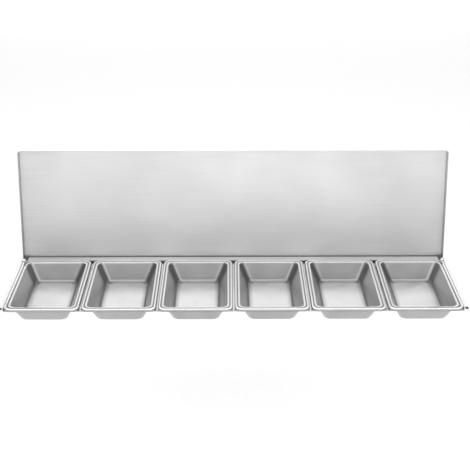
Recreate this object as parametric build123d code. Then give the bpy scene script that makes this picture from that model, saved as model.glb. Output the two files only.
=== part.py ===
from build123d import *
import math
import os

# Bar garnish tray: six lift-out pans hang by their rims in a folded sheet frame, and one long lid
# turns on two pivots behind them. Lengths are in millimetres and angles in degrees.
# X runs along the row, Y from the front to the lid, Z up. The origin is at the middle of the row
# of pans, in the plane of the end ledges' undersides, which lie on the edges of a counter cut-out.

# Pans
pan_count = 6
pan_width = 108.0
pan_length = 170.0
pan_depth = 28.0
pan_gap = 3.0
pan_sheet = 0.8
rim_width = 8.0
lip_height = 4.0
rim_corner = 9.0
rim_bend = 1.8
mouth_bend = 2.5
floor_width = 66.0
floor_length = 128.0
wall_corner = 9.0
floor_bend = 4.5

# Frame
frame_sheet = 1.2
frame_bend = 0.6
channel_height = 5.2
rear_rail_height = 15.2
rear_web_height = 6.5
web_inset = 2.1
lip_clearance = 0.5
front_web_inset = 4.4
front_seat_inset = 1.6
ledge_width = 5.3
ledge_corner = 2.0
ledge_overhang = 3.4
front_tab_length = 12.0
seat_clearance = 0.2
corner_room = 7.0
lip_room = 0.6

# Lid
lid_sheet = 1.0
lid_bend = 1.0
lid_flange_depth = 12.0
lid_front_gap = 1.0
lid_tail = 8.0
lid_relief = 3.0
lid_open_angle = 98.0
ear_radius = 5.0

# Hinge
pivot_behind_pans = 5.0
pivot_drop = 1.5
pin_radius = 2.5
pin_head_radius = 4.0
pin_head_height = 1.5
pin_head_bevel = 0.4
pin_end = 1.0
pin_clearance = 0.05
nut_radius = 4.2
nut_height = 2.4
nut_bevel = 0.5
washer_radius = 4.4
washer_thickness = 0.5
washer_clearance = 0.1
lug_radius = 5.0
foot_length = 14.0
bracket_step = 2.5
cover_end_room = 6.0
cover_lip_room = 0.8
cover_drop = 1.2
cover_flange_overlap = 2.5

# Rivets
rivet_radius = 1.1
rivet_head_radius = 1.6
rivet_head_height = 0.8
bracket_rivet_margin_share = 0.25

# Bumpers
bumper_length = 4.5
bumper_width = 4.0
bumper_height = 1.0
bumper_bevel = 0.3
bumper_setback = 0.6
stop_length = 12.0
stop_height = 4.4
stop_thickness = 1.6
stop_bevel = 0.4
stop_place_share = 0.75

# One overrun serves every cut
overrun = 1.0

# Levels and places that follow from the sizes above
seat_top = frame_sheet
rim_top = seat_top + seat_clearance + pan_sheet
rim_under = rim_top - pan_sheet
pan_bottom = rim_top - pan_depth
channel_floor = seat_top - channel_height
pan_pitch = pan_width + pan_gap
row_half = (pan_count * pan_pitch - pan_gap) / 2
pans_rear = pan_length / 2
pans_front = -pan_length / 2
pan_centres = [(i - (pan_count - 1) / 2) * pan_pitch for i in range(pan_count)]
gap_centres = [(i - (pan_count - 2) / 2) * pan_pitch for i in range(pan_count - 1)]
lip_bottom = rim_top - lip_height

front_web_mid = pans_front + front_web_inset + frame_sheet / 2
front_web_front = front_web_mid - frame_sheet / 2
front_web_back = front_web_mid + frame_sheet / 2
front_seat_edge = pans_front + front_seat_inset
rear_web_mid = pans_rear - web_inset - frame_sheet / 2
rear_web_front = rear_web_mid - frame_sheet / 2
inner_web_mid = row_half - web_inset - frame_sheet / 2
inner_web_face = inner_web_mid - frame_sheet / 2
outer_web_face = row_half + lip_clearance
outer_web_mid = outer_web_face + frame_sheet / 2
outer_web_back = outer_web_face + frame_sheet
ledge_start = outer_web_face + frame_bend + frame_sheet
ledge_edge = outer_web_back + ledge_width
ledge_front = front_web_front - ledge_overhang

rail_floor_under = seat_top - rear_rail_height
rear_rail_half = outer_web_face - frame_bend
rear_web_top = rail_floor_under + rear_web_height

pivot_y = pans_rear + pivot_behind_pans
pivot_z = -pivot_drop
washer_outside = outer_web_back + washer_thickness
lid_inside_half = washer_outside + washer_clearance
lid_half = lid_inside_half + lid_sheet
bumper_top = seat_top + bumper_height
lid_edge = bumper_top + seat_clearance
lid_top = lid_edge + lid_flange_depth
lid_under = lid_top - lid_sheet
lid_front = pans_front - lid_front_gap - lid_sheet
lid_rear = pivot_y + lid_tail

# The open lid's tail leans on the stop bumpers, so the rear rail reaches back as far as it does
lid_arm = lid_under - pivot_z
open_turn = math.radians(lid_open_angle)
tail_y = pivot_y + lid_tail * math.cos(open_turn) + lid_arm * math.sin(open_turn)
tail_z = pivot_z - lid_tail * math.sin(open_turn) + lid_arm * math.cos(open_turn)
rear_web_back = tail_y - seat_clearance - stop_thickness
back_web_mid = rear_web_back - frame_sheet / 2


def folded(points, sheet, bend):
    """The section of a sheet folded along the points, which run through the middle of its thickness."""
    middle_line = FilletPolyline(*points, radius=bend + sheet / 2)
    return trace(middle_line, line_width=sheet)


def along_x(section, start, end):
    """A section drawn as (Y, Z), run along X from start to end."""
    return Pos(start, 0, 0) * extrude(Plane.YZ * section, amount=end - start)


def along_y(section, start, end):
    """A section drawn as (X, Z), run along Y from start to end."""
    return Pos(0, end, 0) * extrude(Plane.XZ * section, amount=end - start)


def block(x_range, y_range, z_range):
    """A box between two places on each axis."""
    size = [high - low for low, high in (x_range, y_range, z_range)]
    middle = [(high + low) / 2 for low, high in (x_range, y_range, z_range)]
    return Pos(*middle) * Box(*size)


def disc_x(y, z, radius, start, end):
    """A round bar along X."""
    return along_x(Pos(y, z) * Circle(radius), start, end)


def left_of(piece):
    """The left-hand copy of a right-hand piece."""
    return mirror(piece, Plane.YZ)


def well(grow, top, bottom, bend):
    """The space inside a pan's walls, or, grown by the sheet, the shape of their outside.

    Its sides slope from the mouth to the floor. The slope is carried on above the rim.
    """
    wall_height = pan_depth - pan_sheet
    slope_x = (pan_width / 2 - rim_width - floor_width / 2) / wall_height
    slope_y = (pan_length / 2 - rim_width - floor_length / 2) / wall_height

    def outline(z):
        rise = z - rim_top
        half_x = pan_width / 2 - rim_width + slope_x * rise + grow
        half_y = pan_length / 2 - rim_width + slope_y * rise + grow
        return Pos(0, 0, z) * Rectangle(half_x * 2, half_y * 2)

    solid = loft([outline(bottom), outline(top)], ruled=True)
    solid = fillet(solid.edges().filter_by(Axis.Z, reverse=True).filter_by(upright), wall_corner + grow)
    return fillet(solid.faces().sort_by(Axis.Z)[0].edges(), bend)


def upright(edge):
    """True for an edge that climbs from one level to another."""
    return abs(edge.position_at(0).Z - edge.position_at(1).Z) > overrun


def ring_at(solid, z, half_x):
    """The edges at one level that go round the mouth, inside half_x."""
    level = solid.edges().filter_by_position(Axis.Z, z - pan_sheet / 4, z + pan_sheet / 4)
    inside = [edge for edge in level if abs(edge.center().X) < half_x]
    return [edge for edge in inside if abs(edge.center().Y) < pan_length / 2]


def make_pan():
    """One drawn pan: a flat rim with a turned-down lip, sloping walls and a rounded floor."""
    skirt = extrude(RectangleRounded(pan_width, pan_length, rim_corner), amount=lip_height)
    skirt = Pos(0, 0, rim_top - lip_height) * skirt
    skirt = fillet(skirt.faces().sort_by(Axis.Z)[-1].edges(), rim_bend)
    inside_width = pan_width - 2 * pan_sheet
    inside_length = pan_length - 2 * pan_sheet
    pocket = RectangleRounded(inside_width, inside_length, rim_corner - pan_sheet)
    pocket = extrude(pocket, amount=lip_height - pan_sheet + overrun)
    pocket = Pos(0, 0, rim_top - lip_height - overrun) * pocket
    pocket = fillet(pocket.faces().sort_by(Axis.Z)[-1].edges(), rim_bend - pan_sheet)
    shell = skirt - pocket
    shell += well(pan_sheet, rim_under + pan_sheet / 2, pan_bottom, floor_bend + pan_sheet)
    root = ring_at(shell, rim_under, pan_width / 2 - rim_bend - pan_sheet)
    shell = fillet(root, mouth_bend - pan_sheet)
    shell -= well(0, rim_top + overrun, pan_bottom + pan_sheet, floor_bend)
    mouth = ring_at(shell, rim_top, pan_width / 2 - rim_width + pan_sheet)
    return fillet(mouth, mouth_bend)


def notched(piece):
    """Clear a frame piece away from the pans' turned-down corners, which hang below its seats."""
    ends = [-row_half - pan_gap / 2, row_half + pan_gap / 2]
    half = pan_gap / 2 + corner_room
    z_range = (lip_bottom - lip_room, seat_top + overrun)
    for x in gap_centres + ends:
        x_range = (max(x - half, -outer_web_face), min(x + half, outer_web_face))
        rear = (pans_rear - corner_room, pans_rear)
        piece -= block(x_range, rear, z_range)
        piece -= block(x_range, (pans_front, pans_front + corner_room), z_range)
    return piece


def make_divider():
    """A channel that carries the rims of two pans, with their lips hanging inside it."""
    web = pan_gap / 2 + web_inset + frame_sheet / 2
    floor = channel_floor + frame_sheet / 2
    points = [(-web, seat_top), (-web, floor), (web, floor), (web, seat_top)]
    return along_y(folded(points, frame_sheet, frame_bend), front_web_back, rear_web_front)


def make_dividers():
    """All the dividers, each in its place."""
    divider = make_divider()
    return [notched(Pos(x, 0, 0) * divider) for x in gap_centres]


def make_end_rail():
    """A channel under the end pan's rim, whose outer web turns out into the ledge."""
    floor = channel_floor + frame_sheet / 2
    ledge = frame_sheet / 2
    points = [
        (inner_web_mid, seat_top),
        (inner_web_mid, floor),
        (outer_web_mid, floor),
        (outer_web_mid, ledge),
        (ledge_edge, ledge),
    ]
    rail = along_y(folded(points, frame_sheet, frame_bend), ledge_front, rear_web_front)
    outer_corners = rail.edges().filter_by(Axis.Z).group_by(Axis.X)[-1]
    rail = fillet(outer_corners, ledge_corner)
    depth_range = (channel_floor - overrun, seat_top + overrun)
    notch_x = (inner_web_face - overrun, ledge_start)
    rail -= block(notch_x, (ledge_front - overrun, front_web_front), depth_range)
    for y, z in front_rivet_places():
        rail -= disc_x(y, z, rivet_radius, inner_web_face - overrun, inner_web_mid + frame_sheet)
    return notched(rail)


def front_rivet_places():
    """The one rivet at each end of the front rail, as (Y, Z), above the fold of the end rail's floor."""
    fold_top = channel_floor + frame_sheet + frame_bend
    return [(front_web_back + front_tab_length / 2, (fold_top + seat_top) / 2)]


def make_front_rail():
    """An angle under the pans' front rims, with an end tab folded back along each end rail."""
    seat = frame_sheet / 2
    points = [(front_seat_edge, seat), (front_web_mid, seat), (front_web_mid, channel_floor)]
    rail = along_x(folded(points, frame_sheet, frame_bend), -inner_web_face, inner_web_face)
    tab_x = (inner_web_face - frame_sheet, inner_web_face)
    tab = block(tab_x, (front_web_mid, front_web_back + front_tab_length), (channel_floor, seat_top))
    for y, z in front_rivet_places():
        tab -= disc_x(y, z, rivet_radius, tab_x[0] - overrun, tab_x[1] + overrun)
    return notched(rail + tab + left_of(tab))


def bracket_rivet_places():
    """The two rivets in the right-hand bracket's foot, as (X, Y)."""
    reach = rear_web_back - rear_web_front
    margin = reach * bracket_rivet_margin_share
    x = outer_web_face - foot_length / 2
    return [(x, rear_web_front + margin), (x, rear_web_back - margin)]


def make_rear_rail():
    """A deep channel behind the pans, whose back web carries the stop bumpers."""
    floor = rail_floor_under + frame_sheet / 2
    points = [
        (rear_web_mid, seat_top),
        (rear_web_mid, floor),
        (back_web_mid, floor),
        (back_web_mid, rear_web_top),
    ]
    rail = along_x(folded(points, frame_sheet, frame_bend), -rear_rail_half, rear_rail_half)
    for x, y in bracket_rivet_places():
        hole = Pos(x, y, floor) * Cylinder(rivet_radius, frame_sheet + 2 * overrun)
        rail -= hole + left_of(hole)
    return notched(rail)


def make_rear_cover():
    """An angle on the rear rail, which closes the row between the pans and the open lid."""
    level = rim_top - cover_drop - frame_sheet / 2
    front = pans_rear + cover_lip_room
    back = rear_web_back - frame_sheet * 1.5
    flange_end = rear_web_top - cover_flange_overlap
    points = [(front, level), (back, level), (back, flange_end)]
    half = outer_web_face - cover_end_room
    return along_x(folded(points, frame_sheet, frame_bend), -half, half)


def make_bracket():
    """The right-hand hinge bracket: an upright lug for the pivot and a foot under the rear rail."""
    foot_mid = rail_floor_under - frame_sheet / 2
    foot_under = rail_floor_under - frame_sheet
    lug_top = pivot_z + lug_radius
    foot_start = outer_web_face - foot_length
    points = [(foot_start, foot_mid), (outer_web_mid, foot_mid), (outer_web_mid, lug_top)]
    bracket = along_y(folded(points, frame_sheet, frame_bend), rear_web_front, rear_web_back)
    side = Polyline(
        (rear_web_front, foot_under),
        (rear_web_back, foot_under),
        (rear_web_back, rear_web_top),
        (pivot_y + lug_radius, pivot_z),
        (pivot_y - lug_radius, pivot_z),
        (rear_web_front, pivot_z - bracket_step),
        close=True,
    )
    outline = make_face(side) + Pos(pivot_y, pivot_z) * Circle(lug_radius)
    bracket &= along_x(outline, foot_start - overrun, outer_web_back + overrun)
    bore = pin_radius + pin_clearance
    bracket -= disc_x(pivot_y, pivot_z, bore, outer_web_face - overrun, outer_web_back + overrun)
    for x, y in bracket_rivet_places():
        bracket -= Pos(x, y, foot_mid) * Cylinder(rivet_radius, frame_sheet + 2 * overrun)
    return bracket


def make_pin():
    """A shouldered pivot pin, headed outside the lid's ear."""
    head_start = lid_half + washer_clearance
    head_end = head_start + pin_head_height
    head = disc_x(pivot_y, pivot_z, pin_head_radius, head_start, head_end)
    head = chamfer(head.edges().group_by(Axis.X)[-1], pin_head_bevel)
    return head + disc_x(pivot_y, pivot_z, pin_radius, outer_web_face - nut_height - pin_end, head_start)


def make_nut():
    """The round nut inside the bracket that keeps the pin."""
    nut = disc_x(pivot_y, pivot_z, nut_radius, outer_web_face - nut_height, outer_web_face)
    nut = chamfer(nut.edges().group_by(Axis.X)[0], nut_bevel)
    return nut - disc_x(pivot_y, pivot_z, pin_radius, outer_web_face - nut_height, outer_web_face)


def make_washer():
    """The nylon washer between the bracket and the lid's ear."""
    washer = disc_x(pivot_y, pivot_z, washer_radius, outer_web_back, washer_outside)
    return washer - disc_x(pivot_y, pivot_z, pin_radius + pin_clearance, outer_web_back, washer_outside)


def make_rivet(grip):
    """A rivet along Z, centred on the two sheets that it joins."""
    rivet = Cylinder(rivet_radius, grip)
    for side in (-1, 1):
        head = Cylinder(rivet_head_radius, rivet_head_height)
        head = fillet(head.edges().group_by(Axis.Z)[-1], rivet_head_height / 2)
        head = Pos(0, 0, (grip + rivet_head_height) / 2) * head
        rivet += head if side > 0 else mirror(head, Plane.XY)
    return rivet


def make_bracket_rivets():
    """The rivets that join both brackets' feet to the rear rail."""
    rivet = make_rivet(2 * frame_sheet)
    places = [(side * x, y) for side in (-1, 1) for x, y in bracket_rivet_places()]
    return [Pos(x, y, rail_floor_under) * rivet for x, y in places]


def make_front_rivets():
    """The rivets that join the front rail's tabs to the end rails."""
    rivet = Rot(0, 90, 0) * make_rivet(2 * frame_sheet)
    places = [(side * inner_web_face, y, z) for side in (-1, 1) for y, z in front_rivet_places()]
    return [Pos(*place) * rivet for place in places]


def make_front_bumper():
    """The right-hand black bumper on the ledge, which the shut lid's flange comes down on."""
    x_range = (ledge_start, ledge_start + bumper_width)
    y_start = ledge_front + bumper_setback
    bumper = block(x_range, (y_start, y_start + bumper_length), (seat_top, bumper_top))
    return chamfer(bumper.faces().sort_by(Axis.Z)[-1].edges(), bumper_bevel)


def make_stop_bumper():
    """The right-hand bumper on the rear rail's back web, which the open lid's tail leans on."""
    middle = outer_web_face * stop_place_share
    x_range = (middle - stop_length / 2, middle + stop_length / 2)
    y_range = (rear_web_back, rear_web_back + stop_thickness)
    z_range = (tail_z - stop_height / 2, tail_z + stop_height / 2)
    bumper = block(x_range, y_range, z_range)
    return chamfer(bumper.faces().sort_by(Axis.Y)[-1].edges(), stop_bevel)


def make_lid_shut():
    """The lid as it lies when shut: a panel with side flanges, a front flange and two ears."""
    side_mid = lid_half - lid_sheet / 2
    panel_mid = lid_top - lid_sheet / 2
    front_mid = lid_front + lid_sheet / 2
    across = [(-side_mid, lid_edge), (-side_mid, panel_mid), (side_mid, panel_mid), (side_mid, lid_edge)]
    lid = along_y(folded(across, lid_sheet, lid_bend), lid_front + lid_relief, lid_rear)
    panel_join = lid_front + lid_relief + lid_bend + lid_sheet
    front = [(front_mid, lid_edge), (front_mid, panel_mid), (panel_join, panel_mid)]
    front_half = lid_half - lid_relief
    lid += along_x(folded(front, lid_sheet, lid_bend), -front_half, front_half)
    ear = Pos(pivot_y, pivot_z) * Circle(ear_radius)
    ear += make_face(
        Polyline(
            (pivot_y - ear_radius, pivot_z),
            (pivot_y + ear_radius, pivot_z),
            (lid_rear, lid_edge + ear_radius),
            (pivot_y - ear_radius, lid_edge + ear_radius),
            close=True,
        )
    )
    ear -= Pos(pivot_y, pivot_z) * Circle(pin_radius + pin_clearance)
    ear = along_x(ear, lid_inside_half, lid_half)
    tail_cut = make_face(
        Polyline(
            (pivot_y + ear_radius, pivot_z),
            (lid_rear, lid_edge + ear_radius),
            (lid_rear + overrun, lid_edge + ear_radius),
            (lid_rear + overrun, pivot_z),
            close=True,
        )
    )
    lid -= along_x(tail_cut, -lid_half - overrun, lid_half + overrun)
    return lid + ear + left_of(ear)


def make_lid():
    """The lid, turned up about its pivots to where it leans open."""
    pivot = Pos(0, pivot_y, pivot_z)
    return pivot * Rot(-lid_open_angle, 0, 0) * pivot.inverse() * make_lid_shut()


def write(name, shape):
    """Write one sub-part to its own STEP file."""
    solids = shape if isinstance(shape, list) else shape.solids()
    export_step(Compound(children=list(solids)) if len(solids) > 1 else solids[0], f"parts/{name}.step")


os.makedirs("parts", exist_ok=True)

pan = make_pan()
for number, x in enumerate(pan_centres, 1):
    write(f"pan_{number}", Pos(x, 0, 0) * pan)

for number, divider in enumerate(make_dividers(), 1):
    write(f"divider_{number}", divider)

for name, piece in (
    ("end_rail", make_end_rail()),
    ("hinge_bracket", make_bracket()),
    ("pivot_pin", make_pin()),
    ("pivot_nut", make_nut()),
    ("pivot_washer", make_washer()),
    ("front_bumper", make_front_bumper()),
    ("stop_bumper", make_stop_bumper()),
):
    write(f"right_{name}", piece)
    write(f"left_{name}", left_of(piece))

write("front_rail", make_front_rail())
write("rear_rail", make_rear_rail())
write("rear_cover", make_rear_cover())
write("bracket_rivets", make_bracket_rivets())
write("front_rivets", make_front_rivets())
write("lid", make_lid())

print("rim top", rim_top, "pan bottom", pan_bottom, "lid top shut", lid_top)
print("row half", row_half, "lid half", lid_half, "ledge edge", ledge_edge)
print("pivot", pivot_y, pivot_z, "tail", round(tail_y, 2), round(tail_z, 2))
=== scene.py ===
# %% [markdown]
# # A bar garnish tray: six steel pans and a long lid
# The real tray is folded and drawn stainless sheet: six small pans hang by their rims in a frame
# that drops into a counter, and one long lid stands open behind them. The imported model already
# says where everything is, so this lesson only dresses it: finer surfaces for the pieces that the
# eye rests on, honest metal finishes for all of them, and a soft studio round the row.

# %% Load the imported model
import bpy
import math
import numpy as np
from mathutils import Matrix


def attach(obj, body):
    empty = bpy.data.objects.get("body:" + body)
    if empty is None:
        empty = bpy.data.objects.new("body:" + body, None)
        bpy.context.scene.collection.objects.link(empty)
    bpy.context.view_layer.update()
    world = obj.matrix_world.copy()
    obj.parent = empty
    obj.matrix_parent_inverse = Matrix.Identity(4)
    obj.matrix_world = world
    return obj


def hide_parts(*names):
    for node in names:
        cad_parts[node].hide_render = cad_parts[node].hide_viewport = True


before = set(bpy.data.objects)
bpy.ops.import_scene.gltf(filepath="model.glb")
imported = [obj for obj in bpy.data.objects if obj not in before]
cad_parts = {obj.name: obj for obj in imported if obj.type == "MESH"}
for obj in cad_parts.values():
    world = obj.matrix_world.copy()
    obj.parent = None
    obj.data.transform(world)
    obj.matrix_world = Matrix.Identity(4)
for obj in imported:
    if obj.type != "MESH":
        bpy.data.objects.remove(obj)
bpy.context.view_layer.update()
MM = 0.001

# %% [markdown]
# ## Where the photograph was taken from
# A camera is found by matching the corners of the rims and of the lid. A long lens far away would
# make the outer pans look like the middle ones. Here they lean outwards strongly, so the lens is
# only a short telephoto, about one and a half metres from the row and 26 degrees above it.

# %% Camera
CAMERA_PLACE = (-0.006, -1.417, 0.688)
CAMERA_TILT = 66.83
CAMERA_TURN = -0.33
CAMERA_LENS = 79.8
CAMERA_FILM = 36.0

camera_data = bpy.data.cameras.new("camera")
camera_data.lens = CAMERA_LENS
camera_data.sensor_width = CAMERA_FILM
camera = bpy.data.objects.new("camera", camera_data)
camera.location = CAMERA_PLACE
camera.rotation_euler = (math.radians(CAMERA_TILT), 0, math.radians(CAMERA_TURN))
bpy.context.collection.objects.link(camera)
bpy.context.scene.camera = camera
bpy.context.scene.view_settings.view_transform = "Standard"
print("camera looks down by", 90 - CAMERA_TILT, "degrees")

# %% [markdown]
# ## A few small tools for materials
# Colours are easiest to name as hex values, the way a screen shows them, but light adds up in
# linear numbers, so one function turns the one into the other. A second one adds a shader node
# together with its settings and its links, which keeps a material down to a few readable lines.
# The others start a material, blend two colours in it and send it to the output.

# %% Colour and node helpers
def linear(hex_code):
    """The linear red, green, blue and full alpha of an sRGB hex colour."""
    shares = [int(hex_code[i:i + 2], 16) / 255 for i in (1, 3, 5)]
    return [s / 12.92 if s <= 0.04045 else ((s + 0.055) / 1.055) ** 2.4 for s in shares] + [1.0]


def add_node(tree, kind, inputs, **settings):
    """Add a node, set its settings, then link or set each named input."""
    node = tree.nodes.new("ShaderNode" + kind)
    for name, value in settings.items():
        setattr(node, name, value)
    for name, value in inputs.items():
        if isinstance(value, bpy.types.NodeSocket):
            tree.links.new(value, node.inputs[name])
        else:
            node.inputs[name].default_value = value
    return node


def blend_colours(tree, amount, first, second, way="MIX"):
    """The colour between first and second, as far along as amount says."""
    mix = add_node(tree, "Mix", {0: amount, 6: first, 7: second}, data_type="RGBA", blend_type=way)
    return mix.outputs[2]


def new_material(name):
    """An empty node material and its tree."""
    material = bpy.data.materials.new(name)
    material.use_nodes = True
    material.node_tree.nodes.clear()
    return material, material.node_tree


def finish_material(tree, shader):
    """Send a shader to the output."""
    add_node(tree, "OutputMaterial", {"Surface": shader.outputs[0]})


print("white is", linear("#FFFFFF"), "and mid grey", round(linear("#808080")[0], 3))

# %% [markdown]
# ## Brushed stainless sheet
# Stainless sheet is rolled, then run under an abrasive belt, which leaves thousands of fine
# scratches all in one direction. The eye reads them as soft streaks, and they smear every
# reflection across the streaks. A picture of scratches could be stretched over the piece, but
# noise that is squeezed hard across the grain and stretched along it gives the same streaks with
# no picture, at any size. Real scratches are 0.05 mm wide, too fine to show from here, so they
# are drawn about 1 mm wide.

# %% Brushed stainless material
GRAIN_WIDTH = 1.0
GRAIN_LENGTH = 90.0
CLOUD_SIZE = 110.0


def brushed_stainless(name, dark, light, gloss, smear, grain_axis, source="Object"):
    """Metal with streaks along one axis, in its colour, its roughness and its height.

    The dark and light colours are those of the streaks, gloss is the least and most roughness, and
    smear says how far reflections are drawn out across the streaks. The streaks are noise whose
    input is divided by the grain length along the axis and by the grain width across it. A second,
    broad noise stands for handling and uneven belt pressure.
    """
    material, tree = new_material(name)
    if source == "Object":
        place = add_node(tree, "TexCoord", {}).outputs["Object"]
    else:
        place = add_node(tree, "UVMap", {}, uv_map=source).outputs["UV"]
    squeeze = [1 / (GRAIN_WIDTH * MM)] * 3
    squeeze[grain_axis] = 1 / (GRAIN_LENGTH * MM)
    along = add_node(tree, "Mapping", {"Vector": place, "Scale": squeeze})
    streaks = add_node(tree, "TexNoise", {"Vector": along.outputs[0], "Scale": 1.0, "Detail": 3.0})
    clouds = add_node(tree, "TexNoise", {"Vector": place, "Scale": 1 / (CLOUD_SIZE * MM), "Detail": 2.0})
    patches = add_node(tree, "MapRange", {"Value": clouds.outputs[0], "From Min": 0.3, "From Max": 0.7,
                                          "To Min": -0.15, "To Max": 0.15})
    tone = add_node(tree, "Math", {0: streaks.outputs[0], 1: patches.outputs[0]}, operation="ADD")
    tint = add_node(tree, "MapRange", {"Value": tone.outputs[0], "From Min": 0.25, "From Max": 0.75})
    colour = blend_colours(tree, tint.outputs[0], linear(dark), linear(light))
    rough = add_node(tree, "MapRange", {"Value": tone.outputs[0], "From Min": 0.25, "From Max": 0.75,
                                        "To Min": gloss[1], "To Max": gloss[0]})
    bump = add_node(tree, "Bump", {"Height": streaks.outputs[0], "Strength": 0.09, "Distance": 0.03 * MM})
    inputs = {"Base Color": colour, "Metallic": 1.0, "Roughness": rough.outputs[0],
              "Normal": bump.outputs[0], "Anisotropic": smear}
    if smear:
        if source == "Object":
            tangent = add_node(tree, "Tangent", {}, direction_type="RADIAL", axis="XYZ"[grain_axis])
        else:
            tangent = add_node(tree, "Tangent", {}, direction_type="UV_MAP", uv_map=source)
        inputs["Tangent"] = tangent.outputs[0]
    finish_material(tree, add_node(tree, "BsdfPrincipled", inputs))
    return material


# The lid's belt ran along its length, so the room shows in it only as broad soft bands.
lid_steel = brushed_stainless("lid_steel_brushed_along_its_length", "#CCCCCC", "#D4D4D4",
                              (0.35, 0.41), 0.5, 0, "sheet")
# The rails were brushed before they were cut, and only thin strips of them catch the light.
rail_steel_x = brushed_stainless("rail_steel_brushed_along_the_row", "#BCBCBC", "#CACACA",
                                 (0.28, 0.40), 0.0, 0)
rail_steel_y = brushed_stainless("rail_steel_brushed_front_to_back", "#D0D0D0", "#E0E0E0",
                                 (0.28, 0.40), 0.0, 1)
print("brushed finishes", [m.name for m in (lid_steel, rail_steel_x, rail_steel_y)])

# %% [markdown]
# ## Drawn stainless for the pans
# A pan is pressed from a flat blank. Its colour holds painted light and shade: the floor is painted
# light and the walls painted satin grey, and the bends and corners, where the metal is drawn hardest,
# come out dull and are painted darker as painted shade. The rim is then polished so that hands and lids
# slide on it, and is painted lighter as a painted highlight, all but the groove pressed into it, which is
# painted dark as a painted shade line. So one material needs several finishes. Splitting the pan into
# several materials would leave hard lines. Instead each point of the mesh carries four numbers between
# 0 and 1, which say how far it is polished rim with painted highlight, groove with painted shade,
# floor with painted light and dull bend or corner with painted shade, and the shader blends by them.
# What this gives the eye is thin bright rims round grey walls and a pale floor.

# %% Drawn stainless material, with painted light and shade in its colour
# Wall grey and bend grey are painted shade, floor white is painted light, rim white is a painted highlight
# and groove grey is a painted shade line.
WALL_STEEL_PAINTED_SHADE, FLOOR_STEEL_PAINTED_LIGHT, BEND_CORNER_PAINTED_SHADE = "#B8B8B8", "#EAEAEA", "#727272"
RIM_STEEL_PAINTED_HIGHLIGHT, GROOVE_PAINTED_SHADE, GRIT_TINT = "#F0F0F0", "#484848", "#F2F2F2"
SATIN_ROUGH, DRAWN_ROUGH, RIM_ROUGH = (0.34, 0.28), 0.44, 0.16
GRIT_SIZE, HANDLING_SIZE, GRIT_HEIGHT = 1.5, 30.0, 0.02


def pan_stainless_with_painted_light_and_shade(name):
    """Satin, dulled and polished steel with painted light and shade, blended by four values that each point
    of the mesh carries.
    """
    material, tree = new_material(name)
    place = add_node(tree, "TexCoord", {}).outputs["Object"]
    # This rim value makes the metal glossier and also paints it lighter as a painted highlight.
    polish_and_painted_highlight = add_node(tree, "Attribute", {}, attribute_name="polish_and_painted_highlight").outputs["Fac"]
    # The groove value paints a dark line in the rim as painted shade.
    groove = add_node(tree, "Attribute", {}, attribute_name="groove").outputs["Fac"]
    # The bright value paints the floor lighter as painted light.
    bright = add_node(tree, "Attribute", {}, attribute_name="bright").outputs["Fac"]
    # The drawn value dulls the metal and also paints it darker as painted shade.
    dull_and_painted_shade = add_node(tree, "Attribute", {}, attribute_name="drawn").outputs["Fac"]
    grit = add_node(tree, "TexNoise", {"Vector": place, "Scale": 1 / (GRIT_SIZE * MM), "Detail": 4.0})
    clouds = add_node(tree, "TexNoise", {"Vector": place, "Scale": 1 / (HANDLING_SIZE * MM), "Detail": 2.0})
    tone = add_node(tree, "Math", {0: grit.outputs[0], 1: clouds.outputs[0]}, operation="ADD")
    tint = add_node(tree, "MapRange", {"Value": tone.outputs[0], "From Min": 0.7, "From Max": 1.3})
    wall = blend_colours(tree, dull_and_painted_shade, linear(WALL_STEEL_PAINTED_SHADE), linear(BEND_CORNER_PAINTED_SHADE))
    painted_floor_light_and_wall_shade = blend_colours(tree, bright, wall, linear(FLOOR_STEEL_PAINTED_LIGHT))
    satin = blend_colours(tree, tint.outputs[0], painted_floor_light_and_wall_shade, linear(GRIT_TINT), "MULTIPLY")
    rim = blend_colours(tree, groove, linear(RIM_STEEL_PAINTED_HIGHLIGHT), linear(GROOVE_PAINTED_SHADE))
    colour = blend_colours(tree, polish_and_painted_highlight, satin, rim)
    satin_rough = add_node(tree, "MapRange", {"Value": tone.outputs[0], "From Min": 0.7, "From Max": 1.3,
                                              "To Min": SATIN_ROUGH[0], "To Max": SATIN_ROUGH[1]})
    dulled = add_node(tree, "MapRange", {"Value": dull_and_painted_shade, "To Min": satin_rough.outputs[0],
                                         "To Max": DRAWN_ROUGH})
    rough = add_node(tree, "MapRange", {"Value": polish_and_painted_highlight, "To Min": dulled.outputs[0], "To Max": RIM_ROUGH})
    bump = add_node(tree, "Bump", {"Height": tone.outputs[0], "Strength": 0.05,
                                   "Distance": GRIT_HEIGHT * MM})
    finish_material(tree, add_node(tree, "BsdfPrincipled", {
        "Base Color": colour, "Metallic": 1.0, "Roughness": rough.outputs[0],
        "Normal": bump.outputs[0]}))
    return material


pan_steel = pan_stainless_with_painted_light_and_shade("pan_steel_satin_polished_with_painted_light_and_shade")
print("pan finish", pan_steel.name)

# %% [markdown]
# ## Surfaces as grids
# Most pieces here are one line carried along another: a pan is its cut edge carried round its
# corners. Such a shape is a table of points, rows along one line and columns along the other, and
# numpy works out the whole table at once. One helper joins neighbours in the table with faces, and
# one puts points, faces and any extra values into a mesh.

# %% Faces of a table of points
def closed_grid_faces(rows, columns):
    """Four-cornered faces between neighbouring rows and columns, the last column joined to the first."""
    row, column = np.meshgrid(np.arange(rows - 1), np.arange(columns), indexing="ij")
    beside = (column + 1) % columns
    here, next_row = row * columns, (row + 1) * columns
    corners = [here + column, here + beside, next_row + beside, next_row + column]
    return np.stack([c.ravel() for c in corners], axis=1)


print("a ring of 4 by 2 points has", len(closed_grid_faces(2, 4)), "faces")

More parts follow.
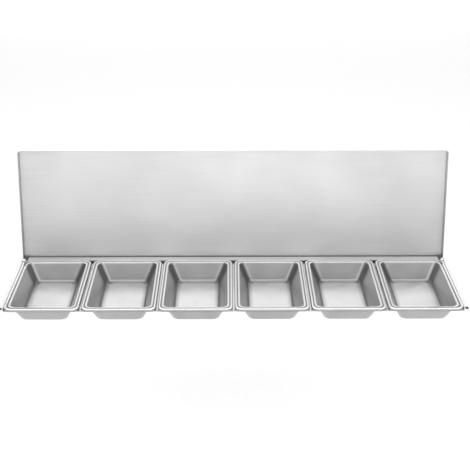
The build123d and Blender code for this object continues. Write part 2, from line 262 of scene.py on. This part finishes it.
# %% A mesh and its object
def add_piece(name, points, faces, material, body, replaced, values=None, sheet=None, caps=()):
    """Make the mesh and its object at the origin, ride it on its body and hide the node it replaces.

    The values are numbers for each point, the sheet is each point's place on the flat sheet, in mm,
    and the caps are rings of points that are closed with one face each.
    """
    mesh = bpy.data.meshes.new(name)
    mesh.from_pydata((np.asarray(points) * MM).tolist(), [], [*map(list, faces), *map(list, caps)])
    mesh.update()
    mesh.shade_smooth()
    for key, numbers in (values or {}).items():
        mesh.attributes.new(key, "FLOAT", "POINT").data.foreach_set("value", numbers.astype(np.float32))
    if sheet is not None:
        corners = np.zeros(len(mesh.loops), np.int32)
        mesh.loops.foreach_get("vertex_index", corners)
        flat = (sheet[corners] * MM).astype(np.float32).ravel()
        mesh.uv_layers.new(name="sheet").data.foreach_set("uv", flat)
    mesh.materials.append(material)
    piece = bpy.data.objects.new(name, mesh)
    bpy.context.collection.objects.link(piece)
    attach(piece, body)
    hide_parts(replaced)
    print(name, len(mesh.vertices), "points", len(mesh.polygons), "faces")
    return piece


print("a piece is drawn in metres, so 1 mm becomes", MM)

# %% Lines with rounded corners
def rounded_line(corners, radii, steps):
    """A line through the corners with each inner corner turned by an arc of its radius.

    Each arc's centre lies on the corner's bisector, radius / sin(half angle) from the corner, and
    its points turn evenly from the one leg's tangent point to the other's.
    """
    corners = np.asarray(corners, float)
    line = [corners[:1]]
    for before, corner, after, radius in zip(corners, corners[1:], corners[2:], radii):
        into, out = corner - before, after - corner
        into, out = into / np.hypot(*into), out / np.hypot(*out)
        turn = math.atan2(into[0] * out[1] - into[1] * out[0], into @ out)
        start = corner - into * radius * math.tan(abs(turn) / 2)
        angles = np.linspace(0, turn, steps)[:, None]
        side = math.copysign(1, turn) * np.array([-into[1], into[0]])
        line.append(start + radius * (np.sin(abs(angles)) * into + (1 - np.cos(angles)) * side))
    return np.concatenate(line + [corners[-1:]])


def filled_in(line, longest):
    """The line with extra points put evenly on each run that is longer than longest."""
    lengths = np.hypot(*np.diff(line, axis=0).T)
    pieces = np.maximum(1, np.ceil(lengths / longest).astype(int))
    runs = [a + (b - a) * np.linspace(0, 1, n, endpoint=False)[:, None]
            for a, b, n in zip(line, line[1:], pieces)]
    return np.concatenate(runs + [line[-1:]])


print("a square corner of radius 2:", np.round(rounded_line([(0, 0), (5, 0), (5, 5)], [2], 3), 2).tolist())

# %% [markdown]
# ## The drawn pans
# A pan could be modelled as a box, hollowed and bevelled, but the bevels of a drawn pan change
# radius all the way down. Its section is simpler: across the floor, up the sloping wall, over the
# mouth, along the rim, down the lip and back under it all, 0.8 mm away. Each point of the section
# is an inset from the rim's edge and a height. Carried round a rounded rectangle that shrinks by
# the inset, it closes into one shell. The rim has a shallow pressed groove, which stiffens it. The
# darker line it shows between two bright ones is painted shade in the groove and painted highlight
# on the rim on either side of it.

# %% Pan section
PAN_WIDTH, PAN_LENGTH, PAN_SHEET = 108.0, 170.0, 0.8
PAN_PITCH = 111.0
RIM_TOP, LIP_END, FLOOR_TOP = 2.2, -1.8, -25.0
MOUTH, WALL_FOOT, FLOOR_REACH = 8.0, 21.0, 46.0
INSIDE_RADII, UNDER_RADII = [4.5, 2.5, 1.8], [1.0, 1.7, 5.3]
INSIDE_STEPS, UNDER_STEPS, LONGEST_STEP = 12, 10, 2.5
GROOVE_FROM, GROOVE_TO, GROOVE_DEPTH = 1.9, 6.3, 0.45
RIM_ABOVE = 1.3

lean = (WALL_FOOT - MOUTH) / (RIM_TOP - FLOOR_TOP)
under_shift = PAN_SHEET * (1 - lean)
under_rim, under_floor = RIM_TOP - PAN_SHEET, FLOOR_TOP - PAN_SHEET
inside = rounded_line([(FLOOR_REACH, FLOOR_TOP), (WALL_FOOT, FLOOR_TOP), (MOUTH, RIM_TOP), (0, RIM_TOP),
                       (0, LIP_END)], INSIDE_RADII, INSIDE_STEPS)
under = rounded_line([(PAN_SHEET, LIP_END), (PAN_SHEET, under_rim), (MOUTH - under_shift, under_rim),
                      (WALL_FOOT - under_shift, under_floor), (FLOOR_REACH, under_floor)],
                     UNDER_RADII, UNDER_STEPS)
section = filled_in(np.concatenate([inside, under]), LONGEST_STEP)
upper_half = np.arange(len(section)) < len(filled_in(inside, LONGEST_STEP))
on_rim = upper_half & (section[:, 1] > RIM_ABOVE)
across_groove = np.clip((section[:, 0] - GROOVE_FROM) / (GROOVE_TO - GROOVE_FROM), 0, 1)
# The groove is a real dip in the rim and also carries a painted shade line in the material.
pan_groove = on_rim * np.sin(np.pi * across_groove) ** 2
section[:, 1] -= GROOVE_DEPTH * pan_groove
print("section points", len(section), "lowest", section[:, 1].min(), "highest", section[:, 1].max())

# %% How finished the pan is from its edge inwards, and where its painted light and shade lie
POLISH_RISE, POLISH_END, POLISH_FADE = 1.5, 8.5, 2.0
# The floor's painted light fades in from here inwards, and the walls keep their painted shade.
BRIGHT_FROM, BRIGHT_FADE = 22.5, 6.0
WALL_FROM, WALL_FADE = 7.0, 2.0
# Along the bend at the floor's edge the metal is dulled and painted darker as painted shade.
BEND_AT, BEND_WIDTH = 20.8, 1.8

inset = section[:, 0]
# The polished rim is glossier metal and is also painted lighter as a painted highlight.
pan_polish_and_painted_highlight = on_rim * np.clip(inset / POLISH_RISE, 0, 1) * np.clip((POLISH_END - inset) / POLISH_FADE, 0, 1)
pan_floor_painted_light = np.clip((inset - BRIGHT_FROM) / BRIGHT_FADE, 0, 1)
pan_wall = upper_half * np.clip((inset - WALL_FROM) / WALL_FADE, 0, 1)
pan_bend = upper_half * np.exp(-((inset - BEND_AT) / BEND_WIDTH) ** 2)
print("polished points", int((pan_polish_and_painted_highlight > 0.5).sum()), "bright points", int((pan_floor_painted_light > 0.5).sum()))

# %% Carry the section round the pan
ARC_STEPS, SIDE_STEPS, END_STEPS = 13, 26, 16
RADIUS_INSETS, CORNER_RADII = [0, 8.0, 30.0, FLOOR_REACH], [9.0, 9.0, 9.0, 6.0]


def walk_round():
    """Once round a rounded rectangle, anticlockwise: the corner centre's side and which way is out.

    The first pair runs from -1 to 1 along each side between the corner centres and stands still in
    a corner. The second pair is the outward direction, which stands still along a side.
    """
    centres, outward = [], []
    corner_signs = [(1, -1), (1, 1), (-1, 1), (-1, -1)]
    for k, sign in enumerate(corner_signs):
        angles = math.radians(90) * (k - 1) + np.linspace(0, math.radians(90), ARC_STEPS)
        centres.append(np.tile(sign, (ARC_STEPS, 1)))
        outward.append(np.stack([np.cos(angles), np.sin(angles)], axis=1))
        steps = SIDE_STEPS if k % 2 == 0 else END_STEPS
        along = np.linspace(0, 1, steps + 1)[1:-1, None]
        next_sign = np.array(corner_signs[(k + 1) % 4])
        centres.append(sign + along * (next_sign - sign))
        outward.append(np.tile(outward[-1][-1], (steps - 1, 1)))
    return np.concatenate(centres), np.concatenate(outward)


def carried_round(section, width, length, corner_at):
    """Points of a section carried round a rounded rectangle, row by row.

    point = corner centre + corner radius x outward, where the centre is half the size less the
    inset less the radius, and the radius is read from corner_at at each inset.
    """
    centres, outward = walk_round()
    inset, height = section[:, :1], section[:, 1:]
    radius = np.interp(inset, *corner_at)
    x = (width / 2 - inset - radius) * centres[:, 0] + radius * outward[:, 0]
    y = (length / 2 - inset - radius) * centres[:, 1] + radius * outward[:, 1]
    return np.stack([x, y, np.broadcast_to(height, x.shape)], axis=2)


pan_points = carried_round(section, PAN_WIDTH, PAN_LENGTH, (RADIUS_INSETS, CORNER_RADII))
rows, columns = pan_points.shape[:2]
pan_faces = closed_grid_faces(rows, columns)[:, ::-1]
pan_caps = [range(columns), range(rows * columns - 1, (rows - 1) * columns - 1, -1)]
print("one pan", rows, "by", columns, "points")

# %% The six pans, how finished each of their points is and how much painted light and shade it carries
PANS = 6
# How much painted shade and dullness the floor bend carries at the pan's ends and at its sides; the upright
# corners carry the most.
END_BEND_SHADE_AND_DULLNESS, SIDE_BEND_SHADE_AND_DULLNESS = 0.5, 0.8

way_out = walk_round()[1]
in_corner = (2 * way_out[:, 0] * way_out[:, 1]) ** 2
along_bend = END_BEND_SHADE_AND_DULLNESS + (SIDE_BEND_SHADE_AND_DULLNESS - END_BEND_SHADE_AND_DULLNESS) * way_out[:, 0] ** 2
pan_dull_and_painted_shade = np.maximum(np.outer(pan_wall, in_corner), np.outer(pan_bend, along_bend))
pan_values = {"polish_and_painted_highlight": np.repeat(pan_polish_and_painted_highlight, columns), "groove": np.repeat(pan_groove, columns),
              "bright": np.repeat(pan_floor_painted_light, columns), "drawn": pan_dull_and_painted_shade.ravel()}
for number in range(1, PANS + 1):
    middle = np.array([(number - (PANS + 1) / 2) * PAN_PITCH, 0, 0])
    name = f"pan_{number}"
    add_piece(f"drawn_{name}", pan_points.reshape(-1, 3) + middle, pan_faces, pan_steel, name,
              name, values=pan_values, caps=pan_caps)

# %% [markdown]
# ## The lid, folded from a flat sheet
# The real lid starts as a flat cross of sheet with its front corners cut out, and a press folds
# its sides and front edge down. The same can be done with a grid: lay points on the flat sheet,
# leave out the cells where the corners are cut, and bend what lies past each fold line round a
# small arc. The flat place of each point is kept as its UV, so the brushing follows the sheet
# round every fold, as it does on real metal that was brushed before it was folded.

# %% Fold the flat sheet
LID_SHEET, FOLD_RADIUS = 1.0, 1.5
LID_TOP, LID_SIDE, LID_FRONT, LID_REAR = 14.4, 334.8, -87.0, 98.0
LID_EDGE, LID_RELIEF = 2.4, 3.0
TAIL_TOP, TAIL_LEAN, TAIL_REACH = 7.4, 1.7 / 5.0, 6.0
FLAT_STEPS, FOLD_STEPS, REAR_STEPS, REAR_RUN = 100, 9, 40, 12.0


def folded_past(distance):
    """How far a sheet runs on, how far it drops and how much it has turned, past a fold line.

    It is flat before the line, turns a quarter circle of the fold radius, then drops straight.
    """
    turn = np.clip(distance / FOLD_RADIUS, 0, math.pi / 2)
    on = np.where(distance < 0, distance, FOLD_RADIUS * np.sin(turn))
    drop = FOLD_RADIUS * (1 - np.cos(turn)) + np.maximum(distance - FOLD_RADIUS * math.pi / 2, 0)
    return on, drop, turn


fold_x = LID_SIDE - LID_SHEET / 2 - FOLD_RADIUS
fold_y = -(LID_FRONT + LID_SHEET / 2 + FOLD_RADIUS)
arc_length = FOLD_RADIUS * math.pi / 2
flange_length = LID_TOP - LID_SHEET / 2 - FOLD_RADIUS - LID_EDGE
down_flange = arc_length + np.linspace(0, flange_length, FOLD_STEPS)[1:]
past_fold = np.concatenate([np.linspace(0, arc_length, FOLD_STEPS), down_flange])
notch_x, notch_y = LID_SIDE - LID_RELIEF, LID_FRONT + LID_RELIEF
half_u = np.concatenate([np.linspace(0, notch_x - LID_RELIEF, FLAT_STEPS), [notch_x], fold_x + past_fold])
u = np.concatenate([-half_u[:0:-1], half_u])
front_v = -(fold_y + past_fold[::-1])
front_v = np.sort(np.append(front_v[np.abs(front_v - notch_y) > LID_SHEET / 20], notch_y))
v = np.concatenate([front_v, np.linspace(-fold_y, LID_REAR - REAR_RUN, REAR_STEPS)[1:],
                    np.linspace(LID_REAR - REAR_RUN, LID_REAR, FOLD_STEPS)[1:]])
grid_u, grid_v = np.meshgrid(u, v, indexing="ij")
on_x, drop_x, turn_x = folded_past(np.abs(grid_u) - fold_x)
on_y, drop_y, turn_y = folded_past(-grid_v - fold_y)
side = np.sign(grid_u)
height = LID_TOP - LID_SHEET / 2 - drop_x - drop_y
middle_surface = np.stack([side * (fold_x + on_x), -(fold_y + on_y), height], axis=2)
outward = np.stack([side * np.sin(turn_x), -np.sin(turn_y), np.cos(turn_x) * np.cos(turn_y)], axis=2)
on_flange = np.abs(grid_u) > fold_x + arc_length - FOLD_RADIUS / 10
into_tail = np.clip((grid_v - (LID_REAR - TAIL_REACH)) / TAIL_REACH, 0, 1)
middle_surface[..., 1] -= np.clip(TAIL_TOP - height, 0, None) * TAIL_LEAN * into_tail * on_flange
print("flat sheet", round(2 * u[-1], 1), "by", round(LID_REAR - v[0], 1), "mm")

# %% Cut the corners, give the sheet its thickness and close its edges
def thick_sheet(surface, outward, thickness, present):
    """Points and faces of a sheet of even thickness over the cells that are present.

    The two skins are the middle surface moved half the thickness each way along its normal. Every
    cell side that has a cell on one side only gets a wall face between the skins.
    """
    rows, columns = surface.shape[:2]
    skins = [surface + outward * thickness / 2, surface - outward * thickness / 2]
    points = np.concatenate([skin.reshape(-1, 3) for skin in skins])
    index = np.arange(rows * columns).reshape(rows, columns)
    below = rows * columns
    a, b, c, d = index[:-1, :-1], index[1:, :-1], index[1:, 1:], index[:-1, 1:]
    top = np.stack([a, b, c, d], axis=2)[present]
    framed = np.pad(present, 1)
    walls = []
    for shift, start, end in (((0, -1), a, b), ((1, 0), b, c), ((0, 1), c, d), ((-1, 0), d, a)):
        neighbour = np.roll(framed, (-shift[0], -shift[1]), axis=(0, 1))[1:-1, 1:-1]
        edge = present & ~neighbour
        walls.append(np.stack([start[edge], start[edge] + below, end[edge] + below, end[edge]], axis=1))
    faces = np.concatenate([top, top[:, ::-1] + below, *walls])
    used, faces = np.unique(faces, return_inverse=True)
    return points[used], faces.reshape(-1, 4), used % below


PIVOT = np.array([0, 90.0, -1.5])
OPEN_ANGLE = 98.0


def swung_open(points):
    """The shut lid's points turned up about the pivots by the open angle."""
    a = math.radians(-OPEN_ANGLE)
    turn = np.array([[1, 0, 0], [0, math.cos(a), -math.sin(a)], [0, math.sin(a), math.cos(a)]])
    return (points - PIVOT) @ turn.T + PIVOT


middle_u = (np.abs(u[:-1]) + np.abs(u[1:])) / 2
middle_v = (v[:-1] + v[1:]) / 2
present = ~((middle_u[:, None] > notch_x) & (middle_v[None, :] < notch_y))
lid_points, lid_faces, kept = thick_sheet(middle_surface, outward, LID_SHEET, present)
flat_place = np.stack([grid_u.ravel(), grid_v.ravel()], axis=1)[kept]
print("lid points", len(lid_points), "cells cut away", int((~present).sum()))

# %% Ears
EAR_RADIUS, BORE_RADIUS, EAR_POINTS = 5.0, 2.55, 73
TAIL_RUN, TAIL_RISE = 3.0, 8.9
FAR = 99.0

tail_length = math.hypot(TAIL_RUN, TAIL_RISE)
ear_height = LID_EDGE - PIVOT[2]
tail_at_top = EAR_RADIUS + ear_height * TAIL_RUN / TAIL_RISE


def ear_outline(angles):
    """Distance from the pivot to the ear's edge in each direction.

    Below the pivot it is the ear's radius. Above it is the nearest of three straight sides: the
    front edge, the sloping tail and the flange's own edge.
    """
    tail_side = (TAIL_RISE / tail_length, -TAIL_RUN / tail_length)
    sides = [((-1, 0), EAR_RADIUS), ((0, 1), ear_height), (tail_side, tail_side[0] * EAR_RADIUS)]
    reach = np.full(angles.shape, FAR)
    for normal, distance in sides:
        facing = np.cos(angles) * normal[0] + np.sin(angles) * normal[1]
        reach = np.minimum(reach, np.where(facing > 1e-6, distance / np.maximum(facing, 1e-6), FAR))
    return np.where(np.sin(angles) < 0, EAR_RADIUS, reach)


def ear_ring(side):
    """One ear as a closed flat ring with a bore.

    It goes out along one face, over the edge, back along the other and through the bore. A point's
    distance from the pivot is the bore's radius plus a share of the way on to the ear's edge.
    """
    corner_angles = [math.atan2(ear_height, -EAR_RADIUS), math.atan2(ear_height, tail_at_top)]
    angles = np.unique(np.concatenate([np.linspace(0, 2 * math.pi, EAR_POINTS)[:-1], corner_angles]))
    way_shares = np.array([0, 0.5, 1, 1, 0.5, 0])[:, None]
    radius = BORE_RADIUS + (ear_outline(angles) - BORE_RADIUS) * way_shares
    face_x = np.array([LID_SIDE - LID_SHEET] * 3 + [LID_SIDE] * 3)[:, None]
    x = np.broadcast_to(side * face_x, radius.shape)
    y, z = PIVOT[1] + radius * np.cos(angles), PIVOT[2] + radius * np.sin(angles)
    faces = closed_grid_faces(len(way_shares), len(angles))
    first, back = faces[:len(angles)], (len(way_shares) - 1) * len(angles)
    closing = np.stack([first[:, 0] + back, first[:, 1] + back, first[:, 1], first[:, 0]], axis=1)
    faces = np.concatenate([faces, closing])
    return np.stack([x, y, z], axis=2).reshape(-1, 3), faces if side < 0 else faces[:, ::-1]


print("ear reaches", np.round(ear_outline(np.radians([0, 90, 180, 270])), 2).tolist(), "mm each way")

# %% Put the lid together, standing open
EAR_SPREAD = 350.0
SHARP_ANGLE, BEVEL_ANGLE, BEVEL_WIDTH = 35.0, 40.0, 0.2

for ear_points, ear_faces in (ear_ring(side) for side in (-1, 1)):
    lid_faces = np.concatenate([lid_faces, ear_faces + len(lid_points)])
    lid_points = np.concatenate([lid_points, ear_points])
    ear_across = ear_points[:, 2] + np.sign(ear_points[:, 0]) * EAR_SPREAD
    flat_place = np.concatenate([flat_place, np.stack([ear_across, ear_points[:, 1]], axis=1)])
lid = add_piece("folded_lid", swung_open(lid_points), lid_faces, lid_steel, "lid", "lid",
                sheet=flat_place)
lid.data.set_sharp_from_angle(angle=math.radians(SHARP_ANGLE))
lid_bevel = lid.modifiers.new("broken_edges", "BEVEL")
lid_bevel.width = BEVEL_WIDTH * MM
lid_bevel.segments = 2
lid_bevel.limit_method = "ANGLE"
lid_bevel.angle_limit = math.radians(BEVEL_ANGLE)
lid_bevel.harden_normals = False

# %% [markdown]
# ## Small metal and rubber
# The pins and rivets are turned and headed steel, brighter than sheet. The washers are nylon,
# and the bumpers are moulded black rubber. These pieces are only millimetres across. Each could
# have a material of its own kind, but at that size a fine even grain and the right gloss say what
# a piece is, so one function makes all three.

# %% Small-part materials
def grained(name, dark, light, gloss, metallic, grain, bump_height, **extra):
    """A fine-grained finish: one noise of the given grain in colour, gloss and height."""
    material, tree = new_material(name)
    place = add_node(tree, "TexCoord", {}).outputs["Object"]
    grit = add_node(tree, "TexNoise", {"Vector": place, "Scale": 1 / (grain * MM), "Detail": 3.0})
    tint = add_node(tree, "MapRange", {"Value": grit.outputs[0], "From Min": 0.3, "From Max": 0.7})
    colour = blend_colours(tree, tint.outputs[0], linear(dark), linear(light))
    rough = add_node(tree, "MapRange", {"Value": grit.outputs[0], "From Min": 0.3, "From Max": 0.7,
                                        "To Min": gloss[1], "To Max": gloss[0]})
    bump = add_node(tree, "Bump", {"Height": grit.outputs[0], "Strength": 0.2,
                                   "Distance": bump_height * MM})
    finish_material(tree, add_node(tree, "BsdfPrincipled", {
        "Base Color": colour, "Metallic": metallic, "Roughness": rough.outputs[0],
        "Normal": bump.outputs[0], **extra}))
    return material


# Bright turned steel gives a small hard glint at each pivot.
turned_steel = grained("pin_steel_turned_bright", "#B8BABC", "#DADBDC", (0.16, 0.30), 1.0, 0.5, 0.02)
# Natural nylon is off-white and waxy, so its highlights are broad and weak.
nylon = grained("washer_nylon_natural_moulded", "#D2D1C8", "#E4E3DA", (0.40, 0.52), 0.0, 1.0, 0.02,
                IOR=1.53)
# Moulded rubber swallows most of the light and reads as a black spot on the ledge.
rubber = grained("bumper_rubber_black_moulded", "#101011", "#1E1E1F", (0.55, 0.70), 0.0, 0.6, 0.05,
                 IOR=1.52)
print("small-part finishes", turned_steel.name, nylon.name, rubber.name)

# %% Finish the pieces that stay as modelled
FINISHES = {
    "front_rail": rail_steel_x, "rear_rail": rail_steel_x, "rear_cover": rail_steel_x,
    "end_rail": rail_steel_y, "divider": rail_steel_y, "hinge_bracket": rail_steel_y,
    "pivot_pin": turned_steel, "pivot_nut": turned_steel, "rivets": turned_steel,
    "pivot_washer": nylon, "bumper": rubber,
}
for node_name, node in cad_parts.items():
    finish = next((f for word, f in FINISHES.items() if word in node_name), None)
    if finish:
        node.data.materials.clear()
        node.data.materials.append(finish)
        print(node_name, "gets", finish.name)

# %% [markdown]
# ## Floor and light
# Catalogue photographs of steel are lit by large white surfaces, because steel shows little of its
# own and mostly mirrors the room. So a light is chosen by what has to mirror it. The open lid
# mirrors what is in front of it: a low card there gives it the gradient from bright at its top to
# grey at its foot. The rear walls of the pans mirror the room in front at about 26 degrees up,
# which is left grey, and the painted shade in their colour darkens them further. The pan floors
# mirror the lid, and through it a large sheet high in front, which together with the painted light
# in their colour makes them pale. The end ledges mirror the room low behind, which is white. A
# ceiling sheet and a floor wash behind make the paper pure white. One lamp would give hard black
# and white stripes instead.

# %% Floor
FLOOR_HEIGHT = -420.0
FLOOR_HALF = 6000.0
FIBRE_SIZE = 8.0

# White paper is matt and slightly uneven, which keeps the ground from looking like a cut-out.
paper, paper_tree = new_material("floor_matt_white_paper")
paper_place = add_node(paper_tree, "TexCoord", {}).outputs["Object"]
fibres = add_node(paper_tree, "TexNoise", {"Vector": paper_place, "Scale": 1 / (FIBRE_SIZE * MM),
                                           "Detail": 3.0})
paper_tint = blend_colours(paper_tree, fibres.outputs[0], linear("#F4F4F4"), linear("#FAFAFA"))
finish_material(paper_tree, add_node(paper_tree, "BsdfPrincipled", {
    "Base Color": paper_tint, "Roughness": 0.9, "Specular IOR Level": 0.1}))
floor_mesh = bpy.data.meshes.new("floor")
square = np.array([(-1, -1, 0), (1, -1, 0), (1, 1, 0), (-1, 1, 0)]) * FLOOR_HALF + (0, 0, FLOOR_HEIGHT)
floor_mesh.from_pydata((square * MM).tolist(), [], [(0, 1, 2, 3)])
floor_mesh.materials.append(paper)
floor = bpy.data.objects.new("floor", floor_mesh)
bpy.context.collection.objects.link(floor)
print("floor at", FLOOR_HEIGHT, "mm")

# %% Room light
ROOM_FRONT, ROOM_TOP, ROOM_BACK, ROOM_BACK_TOP = 0.45, 0.6, 1.0, 0.3
FRONT_RISE, BACK_RISE, FRONT_TO_BACK = (0.45, 0.85), (0.42, 0.54), (-0.1, 0.4)

world = bpy.data.worlds.new("studio")
bpy.context.scene.world = world
world.use_nodes = True
room_tree = world.node_tree
room_tree.nodes.clear()


def room_ramp(heading, limits, start, end):
    """How bright the room is: start below the first limit of the heading, end above the second."""
    reach = {"Value": heading, "From Min": limits[0], "From Max": limits[1], "To Min": start, "To Max": end}
    return add_node(room_tree, "MapRange", reach, interpolation_type="SMOOTHSTEP").outputs[0]


heading = add_node(room_tree, "TexCoord", {}).outputs["Generated"]
ways = add_node(room_tree, "SeparateXYZ", {0: heading})
ahead = room_ramp(ways.outputs[2], FRONT_RISE, ROOM_FRONT, ROOM_TOP)
behind = room_ramp(ways.outputs[2], BACK_RISE, ROOM_BACK, ROOM_BACK_TOP)
room = room_ramp(ways.outputs[1], FRONT_TO_BACK, ahead, behind)
glow = add_node(room_tree, "Background", {"Color": linear("#FFFFFF"), "Strength": room})
add_node(room_tree, "OutputWorld", {"Surface": glow.outputs[0]})
print("room from", ROOM_FRONT, "in front to", ROOM_BACK, "behind")

# %% Soft lights
# Each light has its place, what it faces and its size, all in metres, and its power in watts.
SOFT_LIGHTS = {
    "overhead_sheet": ((0, 0.9, 2.2), (0, 0, 0), (4.0, 2.0), 30),
    "front_card": ((0, -1.5, 0.12), (0, 0, 0.12), (1.8, 0.35), 3.5),
    "front_sheet": ((0, -1.2, 1.6), (0, 0, 0), (2.6, 1.0), 17),
    "ceiling_sheet": ((0, 4.2, 5.5), (0, 4.2, 0), (11.0, 8.0), 150),
    "floor_wash": ((0, 6.5, 1.6), (0, 3.6, -0.42), (11.0, 2.0), 120),
}


def soft_light(name, place, aim, size, power):
    """A rectangular soft light at place, turned so that it faces aim."""
    data = bpy.data.lights.new(name, "AREA")
    data.shape = "RECTANGLE"
    data.size, data.size_y = size
    data.energy = power
    lamp = bpy.data.objects.new(name, data)
    lamp.location = place
    across, along, up = np.subtract(aim, place)
    tilt = math.atan2(math.hypot(across, along), -up)
    lamp.rotation_euler = (tilt, 0, math.atan2(across, -along) + math.pi)
    bpy.context.collection.objects.link(lamp)


for light_name, (place, aim, size, power) in SOFT_LIGHTS.items():
    soft_light(light_name, place, aim, size, power)
    print(light_name, size, "m", power, "W")
